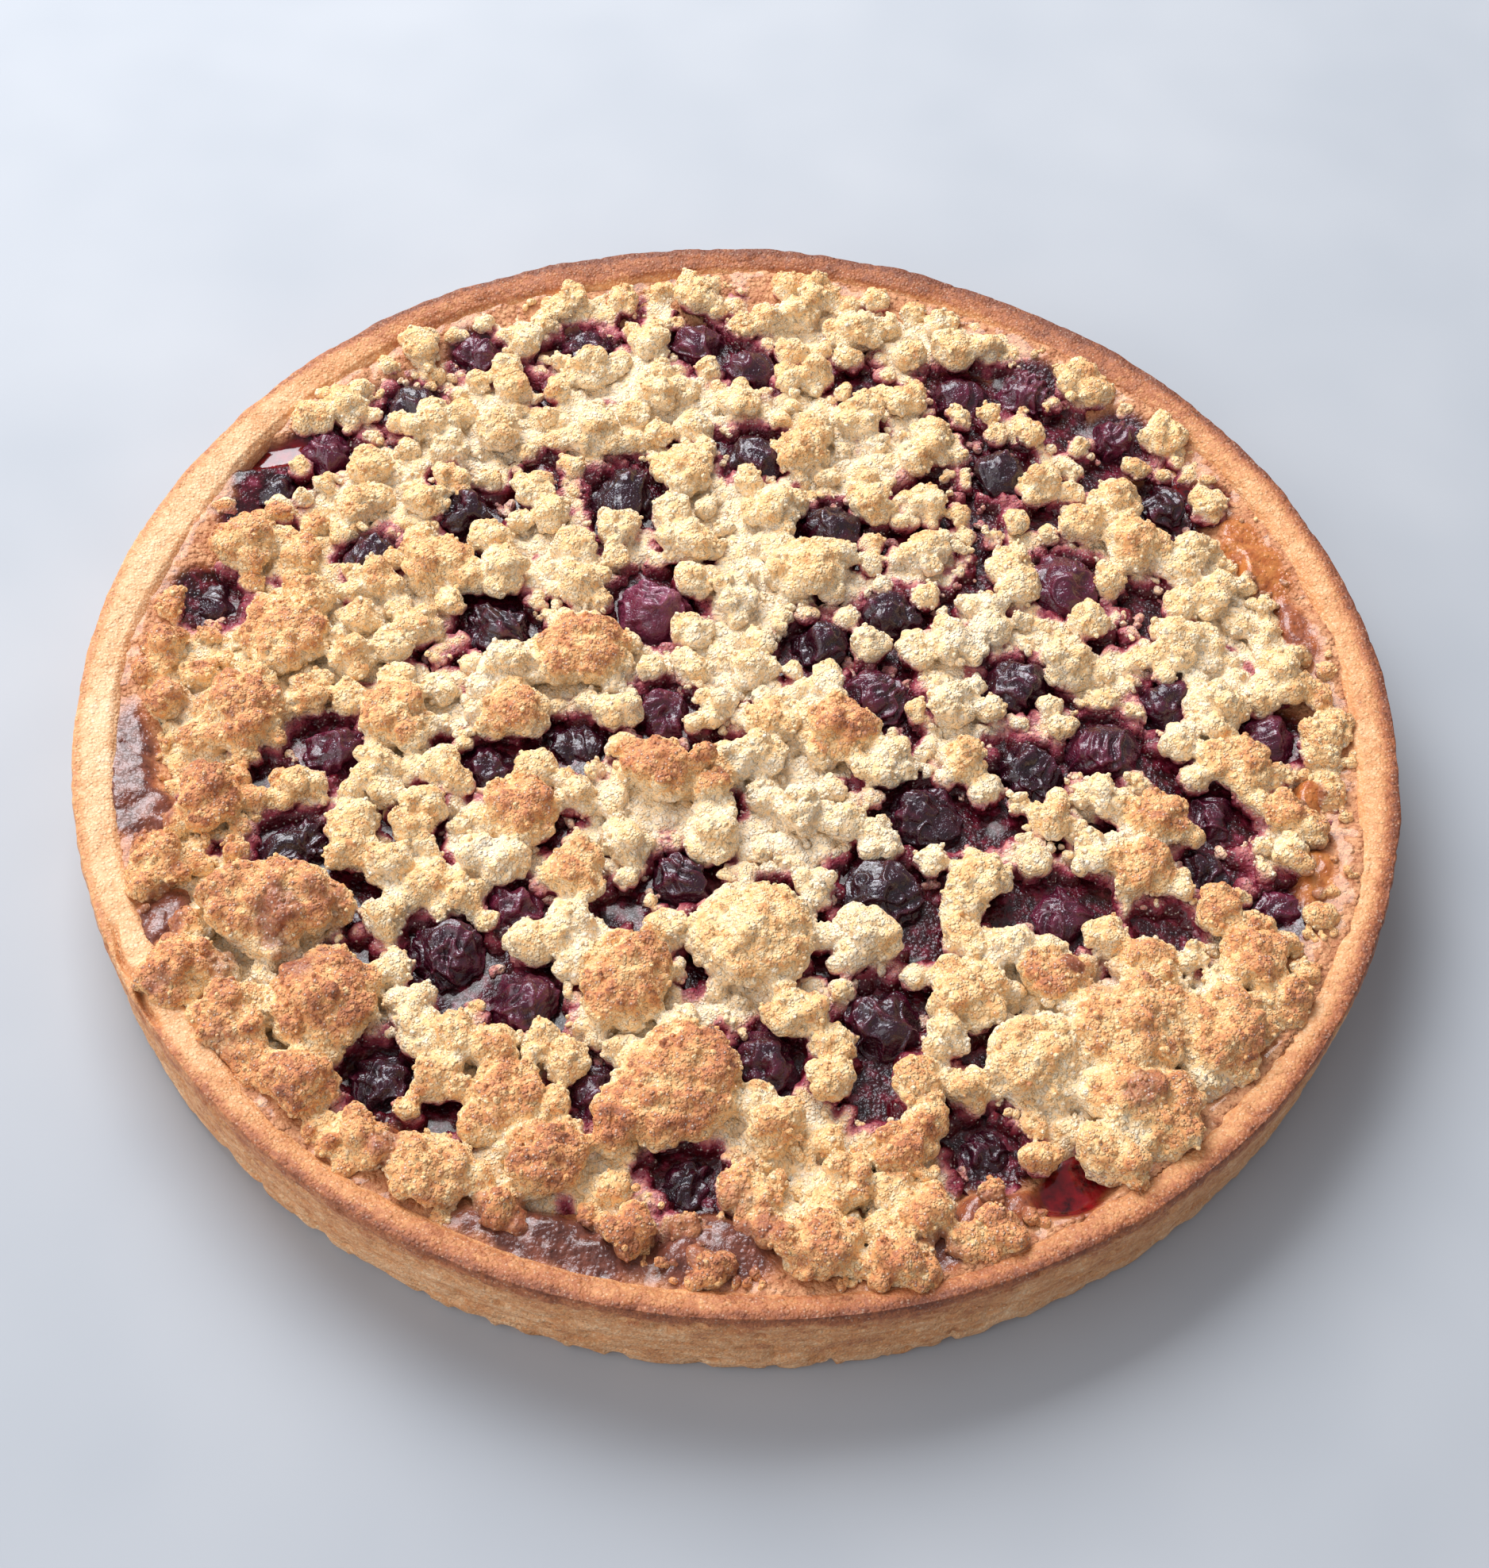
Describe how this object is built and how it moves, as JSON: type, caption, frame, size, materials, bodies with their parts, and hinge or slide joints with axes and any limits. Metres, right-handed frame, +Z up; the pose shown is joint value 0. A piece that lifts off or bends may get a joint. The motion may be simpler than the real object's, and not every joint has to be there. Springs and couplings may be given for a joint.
{
  "type": "sour cherry tart",
  "caption": "Round fruit tart: an upright shortcrust case filled with custard and whole cherries under a bumpy streusel topping, standing flat on its base.",
  "frame": {"origin": "middle of the tart's flat underside", "axes": "+Z up; -Y is the front, the side towards the viewer; +X to the right as seen from the front"},
  "size_m": [0.24, 0.24, 0.0282],
  "materials": {
    "crust": "matt, baked shortcrust pastry, golden tan",
    "filling": "glossy, baked custard stained with cherry juice",
    "streusel": "matt, baked streusel, pale yellow to toasted brown",
    "cherry": "glossy, wrinkled baked cherry skin, near black"
  },
  "bodies": {
    "root": {"crust": "crust", "filling": "filling", "streusel": "streusel", "cherry_01": "cherry", "cherry_02": "cherry", "cherry_03": "cherry", "cherry_04": "cherry", "cherry_05": "cherry", "cherry_06": "cherry", "cherry_07": "cherry", "cherry_08": "cherry", "cherry_09": "cherry", "cherry_10": "cherry", "cherry_11": "cherry", "cherry_12": "cherry", "cherry_13": "cherry", "cherry_14": "cherry", "cherry_15": "cherry", "cherry_16": "cherry", "cherry_17": "cherry", "cherry_18": "cherry", "cherry_19": "cherry", "cherry_20": "cherry", "cherry_21": "cherry", "cherry_22": "cherry", "cherry_23": "cherry", "cherry_24": "cherry", "cherry_25": "cherry", "cherry_26": "cherry", "cherry_27": "cherry", "cherry_28": "cherry", "cherry_29": "cherry", "cherry_30": "cherry", "cherry_31": "cherry", "cherry_32": "cherry", "cherry_33": "cherry", "cherry_34": "cherry", "cherry_35": "cherry", "cherry_36": "cherry", "cherry_37": "cherry", "cherry_38": "cherry", "cherry_39": "cherry", "cherry_40": "cherry", "cherry_41": "cherry", "cherry_42": "cherry", "cherry_43": "cherry", "cherry_44": "cherry", "cherry_45": "cherry", "cherry_46": "cherry", "cherry_47": "cherry", "cherry_48": "cherry", "cherry_49": "cherry", "cherry_50": "cherry"}
  },
  "joints": []
}
